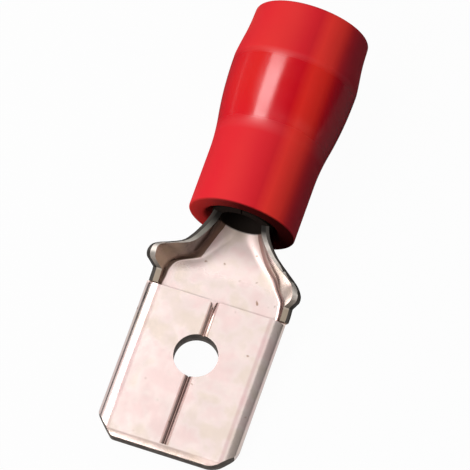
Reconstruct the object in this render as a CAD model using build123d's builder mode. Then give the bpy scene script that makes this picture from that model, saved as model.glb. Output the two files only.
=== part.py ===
from build123d import *
import os
from math import radians, sin, cos

os.makedirs("parts", exist_ok=True)

# Male spade terminal, millimetres. The origin is the middle of the detent hole, halfway through the tab.
# +X runs out of the tab's tip, +Z out of the face with the folded seam, +Y across the tab.

# Tab: one sheet, with a flap folded over it from each long edge
blade_width = 6.35
blade_thickness = 0.8
fold_shoulder = 0.6  # how far in from each edge the pressed fold is rounded
layer_gap = 0.02  # air left between the centre sheet and the flaps
tip_reach = 4.54  # from the hole to the tip
flap_reach = 2.6  # from the hole to the flaps' rear ends
corner_cut = 0.87
corner_blends = {1: 0.8, -1: 0.25}  # the rounding of the tip's +Y and -Y corners
tip_bevel_length = 0.3
tip_bevel_depth = 0.12
hole_diameter = 1.95
seam_width = 0.14
seam_mouth = 0.3  # the seam's width at the surface, where the sheared edges are rolled
seam_mouth_depth = 0.08
flap_corner_radii = {1: 0.12, -1: 0.32}  # where the seam opens at the rear, on the +Y and the -Y flap

# Neck: a trough that narrows from the tab to the barrel
slit_width = 0.15  # between a flap's rear end and the neck's wall
neck_length = 3.45
wall_height = 1.5  # the walls' top above the trough's floor
floor_half_width = 2.56
bend_radius = 0.25
neck_sway = 0.3  # the trough's middle is bent this far towards +Y
ear_setback = 0.6  # from the neck's front to the ears' front edges
ear_rake = 0.15  # how far those edges lean back
slit_wall_height = 0.12  # the walls' height beside the slit, and where they turn up into the ears
ear_foot_height = 0.28
ear_round = 0.6

# Barrel: rolled until its edges meet on the seam side
barrel_diameter = 2.8
barrel_length = 5.2
barrel_seam = 0.06
barrel_lead_in = 0.12  # the chamfer inside its wire end

# Sleeve: distances run from its front rim towards the wire mouth
sleeve_length = 9.74
sleeve_overhang = 0.08  # how far the rim stands in front of the barrel
front_diameter = 4.84
front_length = 3.6
flare_diameter = 5.4
flare_end = 5.1
bulge_diameter = 5.64
bulge_start = 6.7
bulge_end = 7.5
waist_diameter = 5.28
waist_start = 8.75
mouth_diameter = 5.2
profile_radius = 1.6  # blends the outline's corners
waist_radius = 0.7
rim_round = 0.12
front_opening_diameter = 3.4
front_taper_length = 0.5
entry_diameter = 3.9
funnel_length = 1.5

sheet = (blade_thickness - layer_gap) / 2
inner_face = layer_gap / 2  # half of the air gap, above and below the mid-plane
neck_front = -flap_reach - slit_width
barrel_front = neck_front - neck_length
barrel_radius = barrel_diameter / 2
bore_radius = barrel_radius - sheet
barrel_height = barrel_radius - blade_thickness / 2  # the barrel's underside is level with the tab's
seam_end = tip_reach - tip_bevel_length

# Evenly spaced sections of the neck, from the tab to the barrel. Each row gives the floor's share of its full
# half-width, the bend's share of the way to the barrel's radius, the wall's angle in degrees and the share of
# the sway
neck_sections = (
    (1.0, 0.0, 66, 0.3),
    (0.98, 0.01, 67, 0.3),
    (0.95, 0.04, 70, 0.2),
    (0.83, 0.09, 69, 0.1),
    (0.6, 0.22, 84, 0.9),
    (0.42, 0.36, 91, 0.6),
    (0.27, 0.53, 96, 0.3),
    (0.13, 0.76, 104, 0.1),
)
barrel_join_angles = (18, 98, 117)  # where the same edges lie round the barrel, from its lowest line


def neck_section(side, place, floor_share, radius_share, angle, sway_share):
    """Half of a trough section: floor, bend and wall, one sheet thick."""
    floor = floor_half_width * floor_share + side * neck_sway * sway_share
    radius = bend_radius + (bore_radius - bend_radius) * radius_share
    wall = (wall_height - radius * (1 - cos(radians(angle)))) / sin(radians(angle))
    with BuildSketch(Plane.YZ.offset(neck_front - place * neck_length)) as section:
        with BuildLine():
            inner_floor = Line((0, -inner_face), (floor, -inner_face))
            inner_bend = JernArc(inner_floor @ 1, (1, 0), radius, angle)
            inner_wall = PolarLine(inner_bend @ 1, wall, direction=inner_bend % 1)
            outer_floor = Line((0, -inner_face - sheet), (floor, -inner_face - sheet))
            outer_bend = JernArc(outer_floor @ 1, (1, 0), radius + sheet, angle)
            outer_wall = PolarLine(outer_bend @ 1, wall, direction=outer_bend % 1)
            Line(inner_wall @ 1, outer_wall @ 1)
            Line(inner_floor @ 0, outer_floor @ 0)
        make_face()
    return section.sketch


def barrel_join_section():
    """Half of the section where the trough meets the barrel, left in as many edges as the trough's."""
    edges = []
    starts = []
    ends = []
    for radius in (bore_radius, barrel_radius):
        start = -90
        for angle in barrel_join_angles:
            edges.append(CenterArc((0, barrel_height), radius, start, angle - 90 - start))
            start = angle - 90
        starts.append(edges[-len(barrel_join_angles)] @ 0)
        ends.append(edges[-1] @ 1)
    edges.append(Line(*starts))
    edges.append(Line(*ends))
    return Plane.YZ.offset(barrel_front) * Face(Wire(edges))


neck_faces = {}
for side in (1, -1):
    places = [number / len(neck_sections) for number in range(len(neck_sections))]
    neck_faces[side] = [neck_section(side, place, *row) for place, row in zip(places, neck_sections)]
    neck_faces[side].append(barrel_join_section())

with BuildPart() as blade_terminal:
    # Folded tab: a flat bar with pressed folds along both edges, and the air gap between its layers
    with BuildSketch(Plane.YZ.offset(-flap_reach)) as tab_section:
        Rectangle(blade_width - 2 * fold_shoulder, blade_thickness)
        with Locations((blade_width / 2 - fold_shoulder, 0)):
            Ellipse(fold_shoulder, blade_thickness / 2)
        with Locations((fold_shoulder - blade_width / 2, 0)):
            Ellipse(fold_shoulder, blade_thickness / 2, rotation=180)
        SlotOverall(blade_width - 2 * sheet, layer_gap, mode=Mode.SUBTRACT)
    extrude(amount=flap_reach + tip_reach)

    # Tip: corners cut and blended in plan, then both faces bevelled
    with BuildSketch(Plane.XY.offset(-blade_thickness)):
        with BuildLine():
            half_width = blade_width / 2
            for side, blend in corner_blends.items():
                FilletPolyline(
                    (-flap_reach, 0),
                    (-flap_reach, side * half_width),
                    (tip_reach - corner_cut, side * half_width),
                    (tip_reach, side * (half_width - corner_cut)),
                    (tip_reach, 0),
                    radius=[0, blend, blend],
                )
        make_face()
    extrude(amount=2 * blade_thickness, mode=Mode.INTERSECT)
    with BuildSketch(Plane.XZ) as bevel_profile:
        for side in (1, -1):
            with BuildLine():
                Polyline(
                    (seam_end, side * blade_thickness / 2),
                    (tip_reach, side * blade_thickness / 2),
                    (tip_reach, side * (blade_thickness / 2 - tip_bevel_depth)),
                    close=True,
                )
            make_face()
    extrude(amount=blade_width / 2, both=True, mode=Mode.SUBTRACT)

    # Seam between the flaps, with rolled edges, and the rounded corners where it opens at the rear
    with BuildSketch(Plane.YZ.offset(-flap_reach)):
        with BuildLine():
            top = blade_thickness / 2
            Polyline(
                (-seam_width / 2, 0),
                (-seam_width / 2, top - seam_mouth_depth),
                (-seam_mouth / 2, top),
                (seam_mouth / 2, top),
                (seam_width / 2, top - seam_mouth_depth),
                (seam_width / 2, 0),
                close=True,
            )
        make_face()
    extrude(amount=flap_reach + seam_end, mode=Mode.SUBTRACT)
    with BuildSketch(Plane.XY):
        for side, radius in flap_corner_radii.items():
            with BuildLine():
                seam_edge = side * seam_width / 2
                corner = RadiusArc(
                    (-flap_reach, seam_edge + side * radius), (-flap_reach + radius, seam_edge), -side * radius
                )
                Polyline(corner @ 1, (-flap_reach, seam_edge), corner @ 0)
            make_face()
    extrude(amount=blade_thickness, mode=Mode.SUBTRACT)

    # Detent hole through both layers
    with BuildSketch(Plane.XY):
        Circle(hole_diameter / 2)
    extrude(amount=blade_thickness, both=True, mode=Mode.SUBTRACT)

    # Centre sheet across the slit, its edges still rounded
    with BuildSketch(Plane.YZ.offset(-flap_reach)):
        add(tab_section.sketch_local)
        with Locations((0, blade_thickness / 2 - inner_face)):
            Rectangle(blade_width, blade_thickness, mode=Mode.SUBTRACT)
    extrude(amount=-slit_width)

    # Neck: half of the trough, lofted from the tab to the barrel
    loft(neck_faces[1])
    far_half = loft(neck_faces[-1], mode=Mode.PRIVATE)
    mirror(far_half, about=Plane.XZ)

    # Ears: the walls' front corners, cut back from the slit and rounded
    with BuildSketch(Plane.XZ):
        with BuildLine():
            ear_front = neck_front - ear_setback
            ear_top = wall_height + inner_face
            above = wall_height + blade_thickness
            Polyline(
                (neck_front, slit_wall_height),
                (ear_front, ear_foot_height),
                (ear_front - ear_rake, ear_top),
                (ear_front - 3 * ear_round, ear_top),
                (ear_front - 3 * ear_round, above),
                (neck_front, above),
                close=True,
            )
        make_face()
        fillet(vertices().sort_by_distance((ear_front - ear_rake, 0, ear_top))[0], ear_round)
    extrude(amount=blade_width, both=True, mode=Mode.SUBTRACT)

    # Barrel, chamfered inside its wire end, then the seam where its edges meet
    with BuildSketch(Plane.XZ):
        with BuildLine():
            barrel_rear = barrel_front - barrel_length
            Polyline(
                (barrel_front, barrel_height + bore_radius),
                (barrel_front, barrel_height + barrel_radius),
                (barrel_rear, barrel_height + barrel_radius),
                (barrel_rear, barrel_height + bore_radius + barrel_lead_in),
                (barrel_rear + barrel_lead_in, barrel_height + bore_radius),
                close=True,
            )
        make_face()
    revolve(axis=Axis((0, 0, barrel_height), (1, 0, 0)))
    with BuildSketch(Plane.YZ.offset(barrel_front)):
        with Locations((0, barrel_height + barrel_radius)):
            Rectangle(barrel_seam, 3 * sheet)
    extrude(amount=-barrel_length, mode=Mode.SUBTRACT)

blade_terminal.part.label = "blade_terminal"
export_step(blade_terminal.part, "parts/blade_terminal.step")


def sleeve_point(distance, diameter):
    """A point of the sleeve's half profile, given from its front rim and as a diameter."""
    return (barrel_front + sleeve_overhang - distance, barrel_height + diameter / 2)


with BuildPart() as insulating_sleeve:
    with BuildSketch(Plane.XZ):
        with BuildLine():
            outside = FilletPolyline(
                sleeve_point(0, front_diameter),
                sleeve_point(front_length, front_diameter),
                sleeve_point(flare_end, flare_diameter),
                sleeve_point(bulge_start, bulge_diameter),
                sleeve_point(bulge_end, bulge_diameter),
                sleeve_point(waist_start, waist_diameter),
                sleeve_point(sleeve_length, mouth_diameter),
                radius=[profile_radius, profile_radius, profile_radius, profile_radius, waist_radius],
            )
            Polyline(
                outside @ 1,
                sleeve_point(sleeve_length, entry_diameter),
                sleeve_point(sleeve_overhang + barrel_length + funnel_length, entry_diameter),
                sleeve_point(sleeve_overhang + barrel_length, barrel_diameter),
                sleeve_point(front_taper_length, barrel_diameter),
                sleeve_point(0, front_opening_diameter),
                outside @ 0,
            )
        make_face()
        ends = vertices().group_by(Axis.X)
        fillet([ends[0].sort_by(Axis.Y)[-1], ends[-1].sort_by(Axis.Y)[-1]], rim_round)
    revolve(axis=Axis((0, 0, barrel_height), (1, 0, 0)))

insulating_sleeve.part.label = "insulating_sleeve"
export_step(insulating_sleeve.part, "parts/insulating_sleeve.step")
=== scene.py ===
import math

import bmesh
import bpy
from mathutils import Matrix, Vector


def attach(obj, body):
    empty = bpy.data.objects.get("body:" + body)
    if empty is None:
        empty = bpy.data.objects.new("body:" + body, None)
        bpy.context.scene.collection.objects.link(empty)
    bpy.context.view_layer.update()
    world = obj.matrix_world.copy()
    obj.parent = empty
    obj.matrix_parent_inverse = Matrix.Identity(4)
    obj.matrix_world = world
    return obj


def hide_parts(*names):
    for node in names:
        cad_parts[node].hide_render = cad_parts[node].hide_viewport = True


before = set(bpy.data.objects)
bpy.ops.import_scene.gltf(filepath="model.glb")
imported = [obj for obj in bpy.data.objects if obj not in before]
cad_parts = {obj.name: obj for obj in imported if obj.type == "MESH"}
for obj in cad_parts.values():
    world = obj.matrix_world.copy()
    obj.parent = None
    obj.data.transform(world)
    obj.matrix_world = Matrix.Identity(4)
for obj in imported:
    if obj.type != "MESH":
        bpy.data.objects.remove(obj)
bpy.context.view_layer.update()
mm = 0.001  # every size below is in millimetres


def newMaterial(name, colour=(0.8, 0.8, 0.8), roughness=0.5, metallic=0):
    material = bpy.data.materials.new(name)
    material.use_nodes = True
    shader = material.node_tree.nodes["Principled BSDF"]
    shader.inputs["Base Color"].default_value = (*colour, 1)
    shader.inputs["Roughness"].default_value = roughness
    shader.inputs["Metallic"].default_value = metallic
    return material, shader


def addNode(tree, kind, **inputs):
    node = tree.nodes.new(kind)
    for name, value in inputs.items():
        node.inputs[name].default_value = value
    return node


def feed(tree, socket, value):  # an output is linked, a colour or a number is set
    if isinstance(value, bpy.types.NodeSocket):
        tree.links.new(value, socket)
    elif isinstance(value, tuple):
        socket.default_value = (*value, 1)
    else:
        socket.default_value = value


def placeOn(tree):
    place = addNode(tree, "ShaderNodeTexCoord").outputs["Object"]
    axes = addNode(tree, "ShaderNodeSeparateXYZ")
    tree.links.new(place, axes.inputs[0])
    return place, axes.outputs["X"], axes.outputs["Y"], axes.outputs["Z"]


def noiseOn(tree, place, scale, detail, roughness=0.5, stretch=None):
    noise = addNode(tree, "ShaderNodeTexNoise", Scale=scale, Detail=detail, Roughness=roughness)
    if stretch:
        mapping = addNode(tree, "ShaderNodeMapping", Scale=stretch)
        tree.links.new(place, mapping.inputs["Vector"])
        place = mapping.outputs["Vector"]
    tree.links.new(place, noise.inputs["Vector"])
    return noise.outputs["Fac"]


def rampFrom(tree, factor, stops):
    ramp = addNode(tree, "ShaderNodeValToRGB")
    while len(ramp.color_ramp.elements) < len(stops):
        ramp.color_ramp.elements.new(0.5)
    for element, (position, colour) in zip(ramp.color_ramp.elements, stops):
        element.position = position
        element.color = (*colour, 1)
    tree.links.new(factor, ramp.inputs["Fac"])
    return ramp.outputs["Color"]


def greyFrom(tree, factor, stops):
    return rampFrom(tree, factor, [(position, (grey,) * 3) for position, grey in stops])


def bandOf(tree, share, blend):  # none at both ends, full between them
    return greyFrom(tree, share, ((0, 0), (blend, 1), (1 - blend, 1), (1, 0)))


def mixRgb(tree, factor, first, second, blend="MIX"):
    mix = addNode(tree, "ShaderNodeMix")
    mix.data_type = "RGBA"
    mix.blend_type = blend
    colours = [socket for socket in mix.inputs if socket.type == "RGBA"]
    for socket, value in zip([mix.inputs["Factor"]] + colours, (factor, first, second)):
        feed(tree, socket, value)
    return next(socket for socket in mix.outputs if socket.type == "RGBA")


def combine(tree, first, operation, second=0):
    node = addNode(tree, "ShaderNodeMath")
    node.operation = operation
    feed(tree, node.inputs[0], first)
    feed(tree, node.inputs[1], second)
    return node.outputs[0]


def both(tree, first, second):
    return combine(tree, first, "MULTIPLY", second)


def shareOf(tree, value, span):  # 0 at the span's first end, 1 at its second
    share = addNode(tree, "ShaderNodeMapRange")
    share.inputs["From Min"].default_value = span[0] * mm
    share.inputs["From Max"].default_value = span[1] * mm
    tree.links.new(value, share.inputs["Value"])
    return share.outputs["Result"]


def addGrain(tree, shader, height, strength, depth):
    bump = addNode(tree, "ShaderNodeBump", Strength=strength, Distance=depth * mm)
    tree.links.new(height, bump.inputs["Height"])
    tree.links.new(bump.outputs["Normal"], shader.inputs["Normal"])


# Tin plate. Each noise is its scale, detail, roughness and stretch, and each span is in millimetres
plate = {
    "clouds": (900, 3),
    "tint": ((0.38, (0.81, 0.675, 0.595)), (0.5, (0.86, 0.715, 0.675)), (0.64, (0.85, 0.655, 0.625))),
    "specks": (2600, 1),
    "speckShare": ((0.74, 0), (0.8, 1)),
    "speck": (0.42, 0.27, 0.2),
    "glossNoise": (1500, 4),
    "gloss": ((0.3, 0.17), (0.7, 0.24)),  # the roughness's range
    "dull": 0.6,  # the drawn floor's roughness near the barrel
    "dullFrom": (-3.6, -5.7),
    "dullHeight": (0.3, 0.12),
    "grainNoise": (1800, 4, 0.6),
    "grain": (0.25, 0.02),  # strength and depth
    "creaseReach": 0.35,  # how near another surface darkens a crease, as painted shade
    "creaseSamples": 8,
    "seamShade": ((0.1, (0.5, 0.42, 0.4)), (0.5, (0.8, 0.74, 0.72)), (0.8, (1, 1, 1))),
    "neckShade": ((0.3, (0.08, 0.06, 0.05)), (0.68, (0.42, 0.35, 0.33)), (0.88, (1, 1, 1))),
    "upperSide": (0, 0.1),  # in height
    "leftToRight": (-0.5, 0.5),
    "seamPaintedShade": (0.7, 0.6, 0.58),  # painted shade beside the seam
    "seamReach": (0.22, 0.18),
    "tipPaintedShade": (0.66, 0.62, 0.6),  # painted shade on the tip's bevel
    "tipSpan": (4.24, 4.3),
    "foldPaintedShade": (0.86, 0.78, 0.8),  # painted shade where the folds begin
    "foldReach": (2.44, 2.68),
    "foldBlend": 0.35,
    "leftWall": (1, 0.92, 0.76),  # painted shade on the drawn walls
    "leftWallRear": (0.17, 0.15, 0.125),
    "leftWallSpan": (-3.7, -4.4),
    "rightWall": (0.42, 0.48, 0.48),
    "leftCrease": (0.3, 0.24, 0.19),
    "rightCrease": (0.5, 0.41, 0.41),
    "creaseHeight": (-0.0095, 0.004),
    "wallHeight": (0.1, 0.3),
    "throatRise": 0.3,  # how much higher the painted shade begins at the barrel
    "riseFrom": -4.5,
    "inside": (0.02, 0.018, 0.016),  # painted shade: the barrel's inside made near black
    "insideFrom": (-6.12, -6.19),
    "insideTo": (-10.9, -10.2),
    "throat": (0.03, 0.027, 0.024),  # painted shade on the walls where they enter the sleeve
    "throatFrom": (-5.2, -5.95),
    "throatHeight": (0.3, 0.9),
    "streaks": (3000, 3),  # along the sheared edges
    "cut": ((0.35, (0.07, 0.052, 0.044)), (0.7, (0.16, 0.13, 0.11))),  # the tab's sheared edges: their own darker bare colour, deepened as painted shade
    "rim": ((0.35, (0.46, 0.42, 0.38)), (0.7, (0.7, 0.64, 0.59))),  # the walls' upper edges
    "lowRim": (0.27, 0.22, 0.17),  # the walls' low front ends
    "lowRimFrom": (-3.55, -3.25),
    # painted shade on the left walls' rims towards the barrel
    "leftRim": (0.2, 0.19, 0.165),
    "leftRimFrom": (-4.1, -4.9),
    "edgeFinish": (0.6, 0.9),  # roughness and metallic
    "outerEdge": (0.05, 0.042, 0.036),  # painted shade: the rolled-over outer side of a sheared edge, near black
    "outerFinish": (0.6, 0.6),
}


def shadeNeck(tree, shade, x, y, height, onNeck):
    # Painted shade on the drawn walls and their creases, the left wall darker towards the barrel
    onRight = shareOf(tree, y, plate["leftToRight"])
    towardsBarrel = shareOf(tree, x, plate["leftWallSpan"])
    leftWall = mixRgb(tree, towardsBarrel, plate["leftWall"], plate["leftWallRear"])
    wall = mixRgb(tree, onRight, leftWall, plate["rightWall"])
    crease = mixRgb(tree, onRight, plate["leftCrease"], plate["rightCrease"])
    wallShade = mixRgb(tree, shareOf(tree, height, plate["wallHeight"]), crease, wall)
    onWall = both(tree, onNeck, shareOf(tree, height, plate["creaseHeight"]))
    return mixRgb(tree, onWall, shade, wallShade, "MULTIPLY")


def shadeTab(tree, shade, x, y, z, onNeck):
    # Painted shade beside the seam, on the tip's bevel and where the folds begin
    across = combine(tree, y, "ABSOLUTE")
    onTop = shareOf(tree, z, plate["upperSide"])
    onTab = both(tree, combine(tree, 1, "SUBTRACT", onNeck), onTop)
    behindTip = combine(tree, x, "LESS_THAN", terminal["seam"][2] * mm)
    besideSeam = both(tree, both(tree, onTab, shareOf(tree, across, plate["seamReach"])), behindTip)
    shade = mixRgb(tree, besideSeam, shade, plate["seamPaintedShade"], "MULTIPLY")
    atTip = both(tree, shareOf(tree, x, plate["tipSpan"]), onTop)
    shade = mixRgb(tree, atTip, shade, plate["tipPaintedShade"], "MULTIPLY")
    atFold = bandOf(tree, shareOf(tree, across, plate["foldReach"]), plate["foldBlend"])
    return mixRgb(tree, both(tree, onTab, atFold), shade, plate["foldPaintedShade"], "MULTIPLY")


def makePlate():
    material, shader = newMaterial("tinPlate")
    tree = material.node_tree
    place, x, y, z = placeOn(tree)
    tint = rampFrom(tree, noiseOn(tree, place, *plate["clouds"]), plate["tint"])
    specks = greyFrom(tree, noiseOn(tree, place, *plate["specks"]), plate["speckShare"])
    tint = mixRgb(tree, specks, tint, plate["speck"])
    onNeck = combine(tree, x, "LESS_THAN", terminal["neckFront"] * mm)
    rise = both(tree, shareOf(tree, x, (plate["riseFrom"], terminal["neckRear"])), plate["throatRise"] * mm)
    height = combine(tree, z, "SUBTRACT", rise)
    # Painted shade: darker in the creases and the seam, where other surfaces are near
    hidden = addNode(tree, "ShaderNodeAmbientOcclusion", Distance=plate["creaseReach"] * mm)
    hidden.samples = plate["creaseSamples"]
    creases = [rampFrom(tree, hidden.outputs["AO"], plate[name]) for name in ("seamShade", "neckShade")]
    shade = mixRgb(tree, onNeck, *creases)
    shade = shadeNeck(tree, shade, x, y, height, onNeck)
    shade = shadeTab(tree, shade, x, y, z, onNeck)
    # Painted shade: near black on the walls where they enter the sleeve
    throat = both(tree, shareOf(tree, x, plate["throatFrom"]), shareOf(tree, z, plate["throatHeight"]))
    shade = mixRgb(tree, throat, shade, plate["throat"])
    # Painted shade: near black inside the barrel, where it is also not metallic
    inside = both(tree, shareOf(tree, x, plate["insideFrom"]), shareOf(tree, x, plate["insideTo"]))
    shade = mixRgb(tree, inside, shade, plate["inside"])
    tree.links.new(mixRgb(tree, 1, tint, shade, "MULTIPLY"), shader.inputs["Base Color"])
    tree.links.new(combine(tree, 1, "SUBTRACT", inside), shader.inputs["Metallic"])
    shader.inputs["Specular IOR Level"].default_value = 0
    rough = greyFrom(tree, noiseOn(tree, place, *plate["glossNoise"]), plate["gloss"])
    drawn = both(tree, shareOf(tree, x, plate["dullFrom"]), shareOf(tree, height, plate["dullHeight"]))
    tree.links.new(mixRgb(tree, drawn, rough, (plate["dull"],) * 3), shader.inputs["Roughness"])
    addGrain(tree, shader, noiseOn(tree, place, *plate["grainNoise"]), *plate["grain"])
    return material


def makeCutEdge():
    roughness, metallic = plate["edgeFinish"]
    material, shader = newMaterial("shearedEdge", roughness=roughness, metallic=metallic)
    tree = material.node_tree
    place, x, y = placeOn(tree)[:3]
    streaks = noiseOn(tree, place, *plate["streaks"])
    rim = rampFrom(tree, streaks, plate["rim"])
    rim = mixRgb(tree, shareOf(tree, x, plate["lowRimFrom"]), rim, plate["lowRim"])
    # Painted shade on the left rims towards the barrel, and on the rims where they enter the sleeve
    leftShade = both(tree, shareOf(tree, x, plate["leftRimFrom"]), combine(tree, y, "LESS_THAN", 0))
    rim = mixRgb(tree, leftShade, rim, plate["leftRim"])
    rim = mixRgb(tree, shareOf(tree, x, plate["throatFrom"]), rim, plate["throat"])
    onNeck = combine(tree, x, "LESS_THAN", terminal["neckFront"] * mm)
    edge = mixRgb(tree, onNeck, rampFrom(tree, streaks, plate["cut"]), rim)
    tree.links.new(edge, shader.inputs["Base Color"])
    return material


def makeOuterEdge():
    return newMaterial("rolledOverEdge", plate["outerEdge"], *plate["outerFinish"])[0]


# Vinyl, in the same terms as the plate
vinyl = {
    "patches": (260, 2, 0.5, (0.5, 1, 1)),
    "reds": ((0.45, (0.66, 0.001, 0.01)), (0.65, (0.68, 0.014, 0.012))),
    "band": (0.9, 0.03, 0.02),  # painted light: a paler, more orange run along the upper side, where light falls
    "bandSpan": (0.6, 2.1),
    "bandBlend": 0.3,
    # painted shade: the +Y side of the sleeve made dark maroon
    "dark": (0.5, 0.002, 0.018),
    "darkSpan": (1.85, 2.3),
    "glossNoise": (800, 2),
    "gloss": ((0.35, 0.18), (0.65, 0.23)),  # the bulge's roughness
    "matt": 0.75,  # and the roughness of both ends
    "dullFront": (-10.3, -9.6),
    "dullRear": (-13.1, -13.5),
    "sheen": (0.9, 0.4),  # of the bulge, and of the rest
    "rim": (  # painted shade: the front rim's end face, darkest on the +Y side
        (0, (0.6, 0.03, 0.028)), (0.35, (0.2, 0.016, 0.015)),
        (0.6, (0.06, 0.005, 0.005)), (1, (0.03, 0.003, 0.003)),
    ),
    "rimAcross": (-2.4, 1.6),
    "rimFrom": (-6.2, -6.13),
    "mouthRadius": (2.1, 1.78),
    "mouthFrom": (-7.6, -6.9),
    "glow": (0.1, (1, 0.2, 0.1), 0.4),  # weight, share of each colour, and depth
    "grainNoise": (500, 3, 0.55, (0.6, 1, 1)),
    "grain": (0.15, 0.03),
}


def makeVinyl():
    material, shader = newMaterial("redVinyl")
    tree = material.node_tree
    place, x, y, z = placeOn(tree)
    colour = rampFrom(tree, noiseOn(tree, place, *vinyl["patches"]), vinyl["reds"])
    # Painted light in a paler run along the upper side, and painted shade on the +Y side
    inPaintedLight = bandOf(tree, shareOf(tree, y, vinyl["bandSpan"]), vinyl["bandBlend"])
    colour = mixRgb(tree, inPaintedLight, colour, vinyl["band"])
    colour = mixRgb(tree, shareOf(tree, y, vinyl["darkSpan"]), colour, vinyl["dark"])
    # Painted shade: the front rim's end face and the mouth inside it darkened, without sheen
    rim = rampFrom(tree, shareOf(tree, y, vinyl["rimAcross"]), vinyl["rim"])
    up = combine(tree, z, "SUBTRACT", sleeve["axisHeight"] * mm)
    radius = combine(tree, combine(tree, both(tree, y, y), "ADD", both(tree, up, up)), "SQRT")
    inMouth = both(tree, shareOf(tree, radius, vinyl["mouthRadius"]), shareOf(tree, x, vinyl["mouthFrom"]))
    atFront = combine(tree, shareOf(tree, x, vinyl["rimFrom"]), "MAXIMUM", inMouth)
    tree.links.new(mixRgb(tree, atFront, colour, rim), shader.inputs["Base Color"])
    dull = combine(tree, shareOf(tree, x, vinyl["dullFront"]), "MAXIMUM", shareOf(tree, x, vinyl["dullRear"]))
    bright, dim = vinyl["sheen"]
    sheen = combine(tree, bright, "SUBTRACT", both(tree, dull, bright - dim))
    sheen = both(tree, sheen, combine(tree, 1, "SUBTRACT", atFront))
    tree.links.new(sheen, shader.inputs["Specular IOR Level"])
    gloss = greyFrom(tree, noiseOn(tree, place, *vinyl["glossNoise"]), vinyl["gloss"])
    tree.links.new(mixRgb(tree, dull, gloss, (vinyl["matt"],) * 3), shader.inputs["Roughness"])
    weight, reach, depth = vinyl["glow"]
    shader.inputs["Subsurface Weight"].default_value = weight
    shader.inputs["Subsurface Radius"].default_value = reach
    shader.inputs["Subsurface Scale"].default_value = depth * mm
    addGrain(tree, shader, noiseOn(tree, place, *vinyl["grainNoise"]), *vinyl["grain"])
    return material


def asObject(bm, name, materials=()):
    mesh = bpy.data.meshes.new(name)
    bm.to_mesh(mesh)
    bm.free()
    for material in materials:
        mesh.materials.append(material)
    item = bpy.data.objects.new(name, mesh)
    bpy.context.scene.collection.objects.link(item)
    return item


def finishPiece(bm, name, materials, nodes, sharpAngle):
    for face in bm.faces:
        face.smooth = True
    piece = asObject(bm, name, materials)
    piece.data.set_sharp_from_angle(angle=math.radians(sharpAngle))
    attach(piece, "root")
    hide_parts(*nodes)
    return piece


# Terminal: the tab, the neck and the barrel of one folded sheet
terminal = {
    "halfWidth": 3.175,
    "halfThickness": 0.4,
    "foldShoulder": 0.6,  # how far in from each edge the pressed fold is rounded
    "foldSteps": 20,
    "blankLength": 8,  # longer than the tab, and trimmed at the tip
    "toolRear": -3,  # the cutting tools begin behind the tab,
    "toolSide": 4,  # reach past its sides
    "toolTop": 1,  # and past its upper face
    "tipReach": 4.54,
    "cornerCut": 0.87,
    "cornerBlends": (0.33, 0.104),  # at the tip's +Y and -Y corners
    "tipSteps": 8,
    "tipBevel": (0.3, 0.12),  # length and depth
    "sheetGap": (2.785, 0.02),  # half the width and the height of the air between the two layers
    "seam": (0.05, 0.15, 4.24),  # width, rolled edges' radius, front end
    "seamFloor": 0.27,
    "seamHead": 1,  # half the width of its tool's head
    "seamOpening": 0.01,  # how much wider it is at its rear
    "seamRear": -2.27,  # behind this the seam has no floor
    "flapRear": -2.6,
    "flapCorners": (0.12, 0.32),  # at the seam, on the +Y and the -Y flap
    "holeRadius": 0.975,
    "holeSteps": 96,
    "holeRing": 1,  # upright faces this near the middle are the hole's wall,
    "seamBand": 0.1,  # and this near the middle line the seam's
    "smallEdge": (0.03, 2),  # size and steps
    "neckFront": -2.75,
    "neckRear": -6.2,
    "sheet": 0.39,
    "wallHeight": 1.5,
    "halfFloor": 2.56,
    "bendRadius": 0.25,
    "sway": 0.3,
    "sections": (  # shares of the half-floor and of the way to the barrel's radius, wall's angle, sway
        (1.0, 0.0, 66, 0.3),
        (0.98, 0.01, 67, 0.3),
        (0.95, 0.04, 70, 0.2),
        (0.83, 0.09, 69, 0.1),
        (0.6, 0.22, 84, 0.9),
        (0.42, 0.36, 91, 0.6),
        (0.27, 0.53, 96, 0.3),
        (0.13, 0.76, 104, 0.1),
    ),
    "joinAngles": (0, 18, 98, 117),  # where the last section's edges lie round the barrel
    "rim": (  # x, height and the corner's rounding, along a wall's upper edge
        (-2.75, 0.12, 0), (-3.35, 0.28, 0), (-3.5, 1.49, 0.531), (-4.7, 1.49, 0), (-6.2, 1.8, 0),
    ),
    "rimSteps": 12,
    "rimCuts": ((0.15, 1), (0.3, 2), (0.3, 2)),  # edges longer than the first get as many cuts as the second
    "rimHalvings": 20,  # in the search for the rim's height on a wall
    "rows": (8, 18),  # across half the floor, and up a wall
    "rollover": (42, 3),  # percent of a wall's thickness, and steps
    "barrelRear": -11.4,
    "barrelAxis": 1,
    "boreRadius": 1.01,
    "barrelRadius": 1.4,
    "barrelSteps": 96,
    "leadIn": 0.12,  # at the rear end of the bore
    "barrelSeam": 0.06,  # its width
    "sharpAngle": 48,
}


def wireOf(bm, points, closed=True):
    corners = [bm.verts.new(Vector(point) * mm) for point in points]
    for start, end in zip(corners, corners[1:] + (corners[:1] if closed else [])):
        bm.edges.new((start, end))
    return corners


def roundCorner(bm, corner, size, segments=6):
    bmesh.ops.bevel(
        bm, geom=[corner], offset=size * mm, offset_type="OFFSET", segments=segments, profile=0.5,
        affect="VERTICES", material=-1,
    )


def pullOut(bm, along):
    bmesh.ops.contextual_create(bm, geom=bm.edges[:])
    moved = bmesh.ops.extrude_face_region(bm, geom=bm.faces[:])["geom"]
    moved = [item for item in moved if isinstance(item, bmesh.types.BMVert)]
    bmesh.ops.translate(bm, verts=moved, vec=Vector(along) * mm)
    bmesh.ops.recalc_face_normals(bm, faces=bm.faces)


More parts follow.
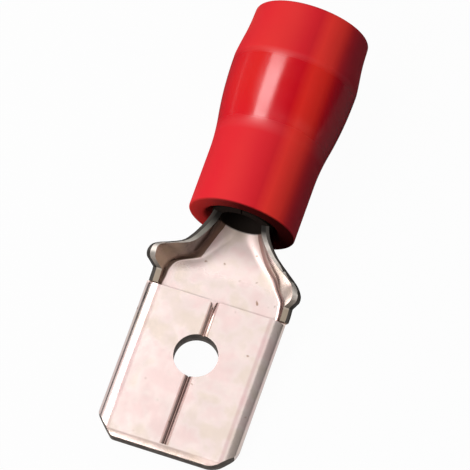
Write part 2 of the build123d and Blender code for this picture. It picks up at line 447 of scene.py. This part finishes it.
def carve(blank, tools):
    for tool, operation in tools:
        cut = blank.modifiers.new("cut", "BOOLEAN")
        cut.operation = operation
        cut.object = tool
        cut.solver = "EXACT"
    bpy.context.view_layer.update()
    carved = bmesh.new()
    carved.from_object(blank, bpy.context.evaluated_depsgraph_get())
    for item in [blank] + [tool for tool, operation in tools]:
        bpy.data.objects.remove(item)
    return carved


def makeBlank():  # the folded edges are half circles, pressed out sideways
    bm = bmesh.new()
    shoulder = terminal["halfWidth"] - terminal["foldShoulder"]
    thick = terminal["halfThickness"]
    ends = []
    for side in (1, -1):
        first = bm.verts.new(Vector((terminal["neckFront"], side * shoulder, side * thick)) * mm)
        turned = bmesh.ops.spin(
            bm, geom=[first], cent=Vector((0, side * shoulder, 0)) * mm, axis=(1, 0, 0), angle=-math.pi,
            steps=terminal["foldSteps"],
        )
        ends.append((first, next(v for v in turned["geom_last"] if isinstance(v, bmesh.types.BMVert))))
    for vertex in bm.verts:
        side = math.copysign(shoulder * mm, vertex.co.y)
        vertex.co.y = side + (vertex.co.y - side) * terminal["foldShoulder"] / thick
    (topRight, bottomRight), (bottomLeft, topLeft) = ends
    bm.edges.new((bottomRight, bottomLeft))
    bm.edges.new((topLeft, topRight))
    pullOut(bm, (terminal["blankLength"], 0, 0))
    return asObject(bm, "blank")


def makeOutline():
    bm = bmesh.new()
    rear, low = terminal["toolRear"], -terminal["toolTop"]
    side = terminal["halfWidth"] + 0.0005  # just clear of the folds
    tip, cut = terminal["tipReach"], terminal["cornerCut"]
    corners = wireOf(bm, (
        (rear, -side, low), (tip - cut, -side, low), (tip, cut - side, low),
        (tip, side - cut, low), (tip - cut, side, low), (rear, side, low),
    ))
    right, left = terminal["cornerBlends"]
    for corner, blend in zip(corners[1:5], (left, left, right, right)):
        roundCorner(bm, corner, blend, terminal["tipSteps"])
    pullOut(bm, (0, 0, -2 * low))
    return asObject(bm, "outline")


def makeSeamTool():  # its broad head rolls the seam's edges
    bm = bmesh.new()
    width, rolled, front = terminal["seam"]
    rear, low, high = terminal["toolRear"], terminal["seamFloor"], terminal["toolTop"]
    half, head = width / 2, terminal["seamHead"]
    top = terminal["halfThickness"] + 0.001  # just clear of the flaps
    corners = wireOf(bm, (
        (rear, -half, low), (rear, -half, top), (rear, -head, top), (rear, -head, high),
        (rear, head, high), (rear, head, top), (rear, half, top), (rear, half, low),
    ))
    for corner in (corners[1], corners[6]):
        roundCorner(bm, corner, rolled)
    pullOut(bm, (front - rear, 0, 0))
    for vertex in bm.verts:
        if vertex.co.x < 0 and abs(vertex.co.y) < head / 2 * mm:  # the rear end, below the head
            vertex.co.y += math.copysign(terminal["seamOpening"] / 2 * mm, vertex.co.y)
    return asObject(bm, "seamTool")


def makeRearTool():
    bm = bmesh.new()
    rear, flap, seam, side = [terminal[name] for name in ("toolRear", "flapRear", "seamRear", "toolSide")]
    half = (terminal["seam"][0] + terminal["seamOpening"]) / 2 - 0.004  # just inside the seam
    corners = wireOf(bm, (
        (rear, -side, 0), (flap, -side, 0), (flap, -half, 0), (seam, -half, 0),
        (seam, half, 0), (flap, half, 0), (flap, side, 0), (rear, side, 0),
    ))
    right, left = terminal["flapCorners"]
    roundCorner(bm, corners[2], left)
    roundCorner(bm, corners[5], right)
    pullOut(bm, (0, 0, terminal["toolTop"]))
    return asObject(bm, "rearTool")


def makeGapTool():
    bm = bmesh.new()
    half, high = terminal["sheetGap"]
    length = 20  # runs out at both ends
    bmesh.ops.create_cube(bm, size=mm)
    bmesh.ops.scale(bm, verts=bm.verts, vec=(length, 2 * half, high))
    return asObject(bm, "gapTool")


def makeHoleTool():
    bm = bmesh.new()
    radius, depth = terminal["holeRadius"] * mm, 2 * terminal["toolTop"] * mm
    bmesh.ops.create_cone(
        bm, cap_ends=True, segments=terminal["holeSteps"], radius1=radius, radius2=radius, depth=depth,
    )
    return asObject(bm, "holeTool")


def bevelTip(bm):
    length, depth = terminal["tipBevel"]
    for up in (1, -1):
        bmesh.ops.bisect_plane(
            bm, geom=bm.verts[:] + bm.edges[:] + bm.faces[:], dist=1e-7, clear_outer=True,
            plane_co=Vector((terminal["tipReach"] - length, 0, up * terminal["halfThickness"])) * mm,
            plane_no=(depth, 0, up * length),
        )
        bmesh.ops.holes_fill(bm, edges=[edge for edge in bm.edges if edge.is_boundary], sides=0)


def markTabEdges(bm):  # the sheared faces: the hole, the seam, the flaps' rear ends and the tip
    partly, squarely = 0.5, 0.9  # how much of a face's normal lies along an axis
    for face in bm.faces:
        x, y, z = face.calc_center_median() / mm
        normal = face.normal
        hole = math.hypot(x, y) < terminal["holeRing"] and abs(normal.z) < partly
        seam = abs(y) < terminal["seamBand"] and abs(normal.y) > squarely
        rear = z > 0 and normal.x < -squarely
        tip = normal.x > partly
        face.material_index = 1 if hole or seam or rear or tip else 0


def makeTab():
    bm = carve(makeBlank(), (
        (makeOutline(), "INTERSECT"), (makeGapTool(), "DIFFERENCE"), (makeSeamTool(), "DIFFERENCE"),
        (makeRearTool(), "DIFFERENCE"), (makeHoleTool(), "DIFFERENCE"),
    ))
    bevelTip(bm)
    bmesh.ops.dissolve_limit(
        bm, angle_limit=math.radians(1), verts=bm.verts, edges=bm.edges, use_dissolve_boundaries=False,
    )
    markTabEdges(bm)
    sharp = 0.6  # radians between an edge's two faces
    neck, gap = terminal["neckFront"] + 0.01, 0.1  # the edges at the neck and in the gap stay as they are
    rims = [
        edge for edge in bm.edges
        if edge.calc_face_angle(0) > sharp
        and all(v.co.x / mm > neck and abs(v.co.z / mm) > gap for v in edge.verts)
    ]
    size, steps = terminal["smallEdge"]
    bmesh.ops.bevel(
        bm, geom=rims, offset=size * mm, offset_type="OFFSET", segments=steps, profile=0.5,
        affect="EDGES", clamp_overlap=True, material=0,
    )
    return bm


def rimCurve():
    bm = bmesh.new()
    corners = wireOf(bm, [(x, 0, height) for x, height, rounding in terminal["rim"]], closed=False)
    for (x, height, rounding), corner in zip(terminal["rim"], corners):
        if rounding:
            roundCorner(bm, corner, rounding, terminal["rimSteps"])
    for longest, cuts in terminal["rimCuts"]:
        tooLong = [edge for edge in bm.edges if edge.calc_length() > longest * mm]
        bmesh.ops.subdivide_edges(bm, edges=tooLong, cuts=cuts)
    curve = sorted(((v.co.x / mm, v.co.z / mm) for v in bm.verts), reverse=True)
    bm.free()
    return curve


# A share of 0 to 1 runs across half the floor, 1 to 2 round the bend and 2 to 3 up the wall
def sectionPoint(number, side, share, outer):
    depth = terminal["sheet"] if outer else 0
    if number == len(terminal["sections"]):
        angles = terminal["joinAngles"]
        first = min(int(share), 2)
        angle = math.radians(angles[first] + (angles[first + 1] - angles[first]) * (share - first))
        radius = terminal["boreRadius"] + depth
        return Vector((side * radius * math.sin(angle), terminal["barrelAxis"] - radius * math.cos(angle)))
    floorShare, radiusShare, angle, sway = terminal["sections"][number]
    floor = terminal["halfFloor"] * floorShare + side * terminal["sway"] * sway
    radius = terminal["bendRadius"] + (terminal["boreRadius"] - terminal["bendRadius"]) * radiusShare
    full = math.radians(angle)
    turn = full * min(max(share - 1, 0), 1)
    wall = (terminal["wallHeight"] - radius * (1 - math.cos(full))) / math.sin(full) * max(share - 2, 0)
    across = floor * min(share, 1) + (radius + depth) * math.sin(turn) + wall * math.cos(full)
    height = (radius + depth) * (1 - math.cos(turn)) - depth + wall * math.sin(full)
    return Vector((side * across, height - terminal["sheetGap"][1] / 2))


def neckPoint(x, side, share, outer):  # on a smooth curve through the four nearest sections
    last = len(terminal["sections"])
    place = (x - terminal["neckFront"]) / (terminal["neckRear"] - terminal["neckFront"]) * last
    index = min(int(place), last - 1)
    t = place - index
    before, first, second, after = [
        sectionPoint(min(max(number, 0), last), side, share, outer) for number in range(index - 1, index + 3)
    ]
    return first + 0.5 * t * (second - before + t * (
        2 * before - 5 * first + 4 * second - after + t * (3 * (first - second) + after - before)
    ))


def rimShare(x, side, height, outer):  # the share at which a wall is as high as its rim
    if neckPoint(x, side, 3, outer).y <= height:
        return 3
    low, high = 1, 3
    for halving in range(terminal["rimHalvings"]):
        middle = (low + high) / 2
        if neckPoint(x, side, middle, outer).y < height:
            low = middle
        else:
            high = middle
    return low


def makeNeck():  # a flat grid of two layers, each vertex of which is moved to its place on the neck
    curve = rimCurve()
    columns = len(curve) - 1
    floorRows, wallRows = terminal["rows"]
    rows = floorRows + wallRows
    shares = {
        (column, side, outer): rimShare(x, side, height, outer)
        for column, (x, height) in enumerate(curve) for side in (1, -1) for outer in (0, 1)
    }
    bm = bmesh.new()
    bmesh.ops.create_grid(bm, x_segments=columns, y_segments=2 * rows, size=1)
    layer = bmesh.ops.extrude_face_region(bm, geom=bm.faces[:], use_keep_orig=True)["geom"]
    layer = [item for item in layer if isinstance(item, bmesh.types.BMVert)]
    bmesh.ops.translate(bm, verts=layer, vec=(0, 0, 1))
    bm.normal_update()
    for face in bm.faces:
        face.material_index = 0 if abs(face.normal.z) > 0.5 else 1
    outerRims = [edge for edge in bm.edges if all(v.co.z > 0.5 and abs(v.co.y) > 0.999 for v in edge.verts)]
    for vertex in bm.verts:
        column = round((vertex.co.x + 1) / 2 * columns)
        row = round(vertex.co.y * rows)
        outer = round(vertex.co.z)
        side = -1 if row < 0 else 1
        beyond = max(abs(row) - floorRows, 0) / wallRows
        share = min(abs(row) / floorRows, 1) + beyond * (shares[column, side, outer] - 1)
        x = curve[column][0]
        y, z = neckPoint(x, side, share, outer)
        vertex.co = Vector((x, y, z)) * mm
    bm.normal_update()
    bmesh.ops.recalc_face_normals(bm, faces=bm.faces)
    share, steps = terminal["rollover"]
    bmesh.ops.bevel(
        bm, geom=outerRims, offset=share, offset_type="PERCENT", segments=steps, profile=0.5,
        affect="EDGES", clamp_overlap=True, material=2,
    )
    return bm


def makeBarrel():
    bm = bmesh.new()
    axis, bore, outside = terminal["barrelAxis"], terminal["boreRadius"], terminal["barrelRadius"]
    front, rear, leadIn = terminal["neckRear"], terminal["barrelRear"], terminal["leadIn"]
    wireOf(bm, (
        (front, 0, axis + bore), (front, 0, axis + outside), (rear, 0, axis + outside),
        (rear, 0, axis + bore + leadIn), (rear + leadIn, 0, axis + bore),
    ))
    opening = math.asin(terminal["barrelSeam"] / (bore + outside))
    centre = Vector((0, 0, axis)) * mm
    bmesh.ops.rotate(bm, verts=bm.verts, cent=centre, matrix=Matrix.Rotation(opening, 3, "X"))
    bmesh.ops.spin(
        bm, geom=bm.verts[:] + bm.edges[:], cent=centre, axis=(1, 0, 0), angle=2 * (math.pi - opening),
        steps=terminal["barrelSteps"],
    )
    bmesh.ops.holes_fill(bm, edges=[edge for edge in bm.edges if edge.is_boundary], sides=0)
    bmesh.ops.recalc_face_normals(bm, faces=bm.faces)
    return bm


def makeTerminal():
    bm = bmesh.new()
    for part in (makeTab(), makeNeck(), makeBarrel()):
        mesh = bpy.data.meshes.new("part")
        part.to_mesh(mesh)
        part.free()
        bm.from_mesh(mesh)
        bpy.data.meshes.remove(mesh)
    materials = [makePlate(), makeCutEdge(), makeOuterEdge()]
    piece = finishPiece(
        bm, "foldedTerminal", materials, ["blade_terminal"], terminal["sharpAngle"],
    )
    weighted = piece.modifiers.new("flatFaces", "WEIGHTED_NORMAL")
    weighted.keep_sharp = True


# Sleeve: distance from its front rim, diameter and the corner's rounding
sleeve = {
    "frontRim": -6.12,
    "axisHeight": 1,
    "outside": (
        (0, 4.84, 0.1), (3.6, 4.84, 0.75), (5.1, 5.4, 0.75), (6.7, 5.64, 0.6), (7.5, 5.64, 0.6),
        (8.75, 5.28, 0.4), (9.74, 5.2, 0.12),
    ),
    "inside": ((9.74, 3.9, 0.12), (6.78, 3.9, 0), (5.28, 2.8, 0), (0.5, 2.8, 0), (0, 3.4, 0.12)),
    "steps": 128,
    "sharpAngle": 40,
}


def makeSleeve():
    bm = bmesh.new()
    profile = sleeve["outside"] + sleeve["inside"]
    corners = wireOf(bm, [
        (sleeve["frontRim"] - distance, 0, sleeve["axisHeight"] + diameter / 2)
        for distance, diameter, rounding in profile
    ])
    for (distance, diameter, rounding), corner in zip(profile, corners):
        if rounding:
            roundCorner(bm, corner, rounding)
    bmesh.ops.spin(
        bm, geom=bm.verts[:] + bm.edges[:], cent=Vector((0, 0, sleeve["axisHeight"])) * mm, axis=(1, 0, 0),
        angle=2 * math.pi, steps=sleeve["steps"], use_merge=True,
    )
    bmesh.ops.recalc_face_normals(bm, faces=bm.faces)
    finishPiece(bm, "vinylSleeve", [makeVinyl()], ["insulating_sleeve"], sleeve["sharpAngle"])


makeTerminal()
print("terminal made")
makeSleeve()
print("sleeve made")


def standing(place, along, back):  # its back axis as given, its first axis as near to along as it goes
    along = (along - back * along.dot(back)).normalized()
    return Matrix.Translation(place) @ Matrix((along, back.cross(along), back)).transposed().to_4x4()


# Camera: looks down on the terminal, which leans over to the right in the picture
view = {
    "aim": (-5.937, -0.244, 0),  # the point in the middle of the picture
    "right": (-0.322, 0.9465, -0.017),
    "back": (0.336, 0.131, 0.933),
    "lens": 400,
    "pixels": 470,
    "pixelsPerMm": 23,
}


def placeCamera():
    back = Vector(view["back"]).normalized()
    data = bpy.data.cameras.new("camera")
    data.lens = view["lens"]
    distance = view["pixels"] / view["pixelsPerMm"] * mm * data.lens / data.sensor_width
    data.clip_start = distance / 10
    data.clip_end = distance * 10
    camera = bpy.data.objects.new("camera", data)
    bpy.context.scene.collection.objects.link(camera)
    camera.matrix_world = standing(Vector(view["aim"]) * mm + back * distance, Vector(view["right"]), back)
    bpy.context.scene.camera = camera


# Studio: the terminal rests on the sleeve's bulge and the tip's lower edge, so the floor slopes with it.
# The cards show only in the metal and the vinyl, save the one that only shades the sleeve's right side
studio = {
    "sleeveRest": (-13.22, -1.82),  # x and height
    "tipRest": (4.24, -0.4),
    "floorSize": 400,
    "floorColour": (0.45, 0.45, 0.45),
    "seenShare": 0.97,  # how much of plain white the camera sees in the floor
    "mirroredShare": 0.5,  # and how much of it shows in the metal and the vinyl
    "daylight": 0.6,
    "skyMirrored": 0.98,  # how much of the white backdrop above the floor shows in them
    "roughness": 0.9,  # of the floor and the cards
    "lookAt": (-6, 0, 0),  # what the lamps and the standing cards face
    "lamps": (
        {"name": "key", "place": (-29, -61, 93), "size": (40, 60), "power": 0.034},
        {"name": "frontTop", "place": (40, -47, 88), "size": (50, 56), "power": 0.058},
    ),
    "cards": (
        {"name": "sideShade", "place": (-5, 47, 28), "size": (160, 100), "grey": 0.02, "shades": True},
        {"name": "sideCard", "place": (-5, 45, 27), "size": (160, 96), "grey": 0.5},
        {"name": "frontCard", "place": (50, 0, 4), "size": (30, 120), "grey": 0.03},
        {"name": "frontRightCard", "place": (50, 33, 46), "size": (60, 56), "grey": 0.02},
        {"name": "leftCard", "place": (-5, -60, 4), "size": (160, 30), "grey": 0.15},
        {"name": "sleeveCard", "place": (-13.8, 1.8, 10), "size": (7, 7.6), "grey": 0.02, "lies": True},
        {"name": "sleeveLeftCard", "place": (-19, -20.6, 10), "size": (20, 27), "grey": 0.02, "lies": True},
        {"name": "sleeveRightCard", "place": (-13.8, 8.5, 6), "size": (7, 12), "grey": 0.02},
        {"name": "sleeveLowCard", "place": (-16, -17, -1.2), "size": (16, 28), "grey": 0.05, "lies": True},
        {"name": "lowCard", "place": (-8, 21, -1.2), "size": (60, 38), "grey": 0.1, "lies": True},
    ),
}


def whiteShare(tree, seen, mirrored):
    rays = addNode(tree, "ShaderNodeLightPath").outputs
    reflected = combine(tree, rays["Is Glossy Ray"], "MAXIMUM", rays["Is Transmission Ray"])
    return combine(tree, both(tree, rays["Is Camera Ray"], seen), "MAXIMUM", both(tree, reflected, mirrored))


def mixShaders(tree, factor, first, second, output):
    mix = addNode(tree, "ShaderNodeMixShader")
    for value, socket in zip((factor, first.outputs[0], second.outputs[0]), mix.inputs):
        tree.links.new(value, socket)
    tree.links.new(mix.outputs[0], output.inputs["Surface"])


def makeFloor():
    material, shader = newMaterial("paleFloor", studio["floorColour"], studio["roughness"])
    shader.inputs["Specular IOR Level"].default_value = 0
    tree = material.node_tree
    share = whiteShare(tree, studio["seenShare"], studio["mirroredShare"])
    mixShaders(tree, share, shader, addNode(tree, "ShaderNodeEmission"), tree.nodes["Material Output"])
    (backX, backZ), (tipX, tipZ) = studio["sleeveRest"], studio["tipRest"]
    slope = math.atan2(tipZ - backZ, tipX - backX)
    bm = bmesh.new()
    bmesh.ops.create_grid(bm, x_segments=1, y_segments=1, size=studio["floorSize"] / 2 * mm)
    bmesh.ops.rotate(bm, verts=bm.verts, matrix=Matrix.Rotation(-slope, 3, "Y"))
    bmesh.ops.translate(bm, verts=bm.verts, vec=Vector(((backX + tipX) / 2, 0, (backZ + tipZ) / 2)) * mm)
    floor = asObject(bm, "floor", [material])


def facing(place):
    start = Vector(place) * mm
    back = (start - Vector(studio["lookAt"]) * mm).normalized()
    return standing(start, Vector((1, 0, 0)), back)


def makeLamps():
    for row in studio["lamps"]:
        lamp = bpy.data.lights.new(row["name"], "AREA")
        lamp.shape = "RECTANGLE"
        lamp.size, lamp.size_y = [length * mm for length in row["size"]]
        lamp.energy = row["power"]
        item = bpy.data.objects.new(row["name"], lamp)
        bpy.context.scene.collection.objects.link(item)
        item.matrix_world = facing(row["place"])


def makeCards():
    for row in studio["cards"]:
        material = newMaterial(row["name"], (row["grey"],) * 3, studio["roughness"])[0]
        length, width = row["size"]
        bm = bmesh.new()
        bmesh.ops.create_grid(bm, x_segments=1, y_segments=1, size=0.5)
        bmesh.ops.scale(bm, verts=bm.verts, vec=(length * mm, width * mm, 1))
        lies, shades = row.get("lies", False), row.get("shades", False)
        turned = Matrix.Translation(Vector(row["place"]) * mm) if lies else facing(row["place"])
        bmesh.ops.transform(bm, verts=bm.verts, matrix=turned)
        card = asObject(bm, row["name"], [material])
        card.visible_camera = False
        card.visible_diffuse = shades
        card.visible_shadow = shades
        card.visible_glossy = not shades


def lightWorld():
    world = bpy.data.worlds.new("studio")
    bpy.context.scene.world = world
    world.use_nodes = True
    tree = world.node_tree
    daylight = tree.nodes["Background"]
    daylight.inputs["Color"].default_value = (1, 1, 1, 1)
    daylight.inputs["Strength"].default_value = studio["daylight"]
    white = addNode(tree, "ShaderNodeBackground", Color=(1, 1, 1, 1), Strength=1)
    mixShaders(tree, whiteShare(tree, 1, studio["skyMirrored"]), daylight, white, tree.nodes["World Output"])


makeFloor()
makeLamps()
makeCards()
lightWorld()
placeCamera()
bpy.context.scene.view_settings.view_transform = "Standard"
print("studio made")
